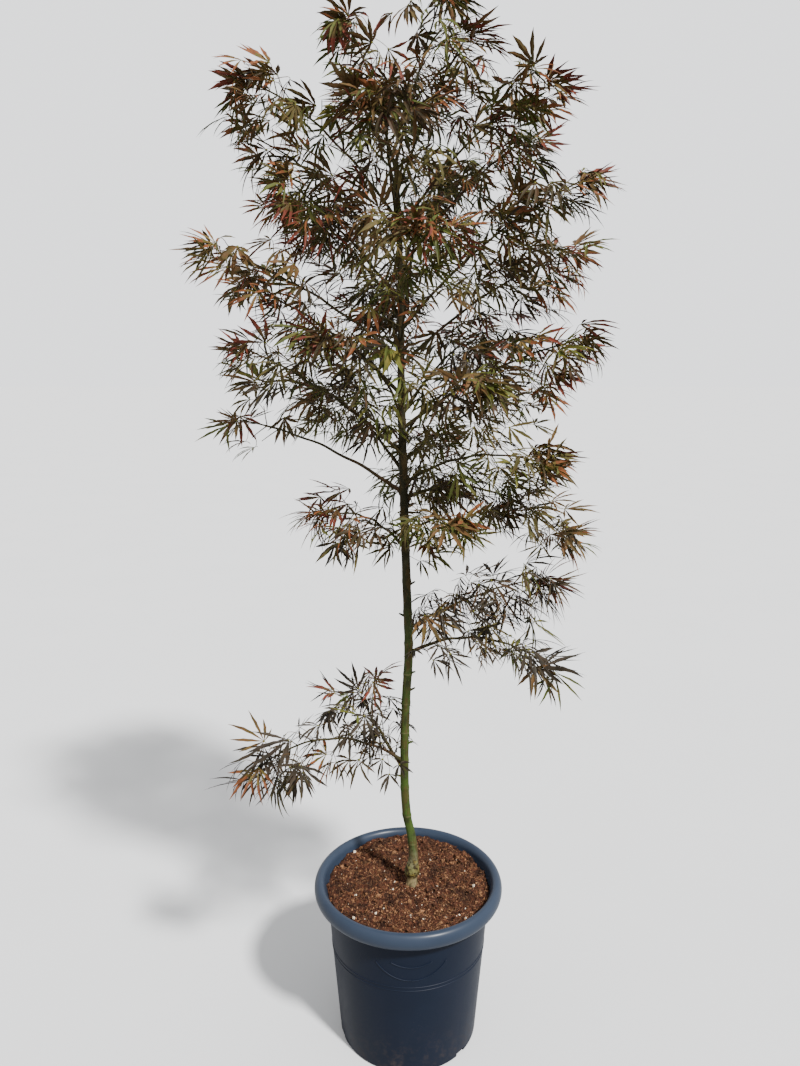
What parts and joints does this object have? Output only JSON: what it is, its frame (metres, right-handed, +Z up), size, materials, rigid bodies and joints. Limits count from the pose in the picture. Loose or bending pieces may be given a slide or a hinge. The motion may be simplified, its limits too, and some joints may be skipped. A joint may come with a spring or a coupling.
{
  "type": "potted japanese maple",
  "caption": "Slender Japanese maple with narrow finger-like leaves, trained as one upright stem and growing in a round nursery pot.",
  "frame": {"origin": "centre of the pot's flat underside, on the surface that the pot stands on", "axes": "+Z up the trunk, -Y towards the viewer of the picture, +X to the viewer's right"},
  "size_m": [0.7867, 0.673, 2.0695],
  "materials": {
    "pot": "dark blue-grey moulded nursery plastic with a soft shine on the rolled lip",
    "soil": "moist red-brown peat, bark and fibre with white perlite grains",
    "bark": "smooth olive-green young bark with pale flecks, beige and rough below the graft",
    "twig_bark": "smooth green-brown young bark",
    "foliage": "thin satin leaves, olive and bronze green with orange-red new growth"
  },
  "bodies": {
    "root": {"pot": "pot", "soil": "soil", "trunk": "bark", "bough_low_left": "twig_bark", "foliage_low_left": "foliage", "bough_low_left_rising": "twig_bark", "foliage_low_left_rising": "foliage", "bough_low_right": "twig_bark", "foliage_low_right": "foliage", "bough_low_right_upper": "twig_bark", "foliage_low_right_upper": "foliage", "foliage_front_low": "foliage", "bough_left_low": "twig_bark", "foliage_left_low": "foliage", "bough_right_hanging": "twig_bark", "foliage_right_hanging": "foliage", "bough_back_low": "twig_bark", "foliage_back_low": "foliage", "bough_right_low": "twig_bark", "foliage_right_low": "foliage", "bough_left_thin": "twig_bark", "foliage_left_thin": "foliage", "bough_right_lower": "twig_bark", "foliage_right_lower": "foliage", "bough_back_left_low": "twig_bark", "foliage_back_left_low": "foliage", "bough_left_lower": "twig_bark", "foliage_left_lower": "foliage", "foliage_front_right": "foliage", "bough_right_middle": "twig_bark", "foliage_right_middle": "foliage", "foliage_front_left": "foliage", "bough_back_right": "twig_bark", "foliage_back_right": "foliage", "bough_left_middle": "twig_bark", "foliage_left_middle": "foliage", "bough_back_middle": "twig_bark", "foliage_back_middle": "foliage", "bough_left_far": "twig_bark", "foliage_left_far": "foliage", "bough_right_far": "twig_bark", "foliage_right_far": "foliage", "foliage_front_middle": "foliage", "bough_right_upper": "twig_bark", "foliage_right_upper": "foliage", "bough_back_left": "twig_bark", "foliage_back_left": "foliage", "bough_left_upper": "twig_bark", "foliage_left_upper": "foliage", "bough_back_upper": "twig_bark", "foliage_back_upper": "foliage", "foliage_right_high": "foliage", "foliage_left_high": "foliage", "foliage_front_upper": "foliage", "foliage_right_top": "foliage", "foliage_left_top": "foliage", "foliage_back_top": "foliage", "foliage_front_top": "foliage", "foliage_leader_left": "foliage", "foliage_leader": "foliage"}
  },
  "joints": []
}
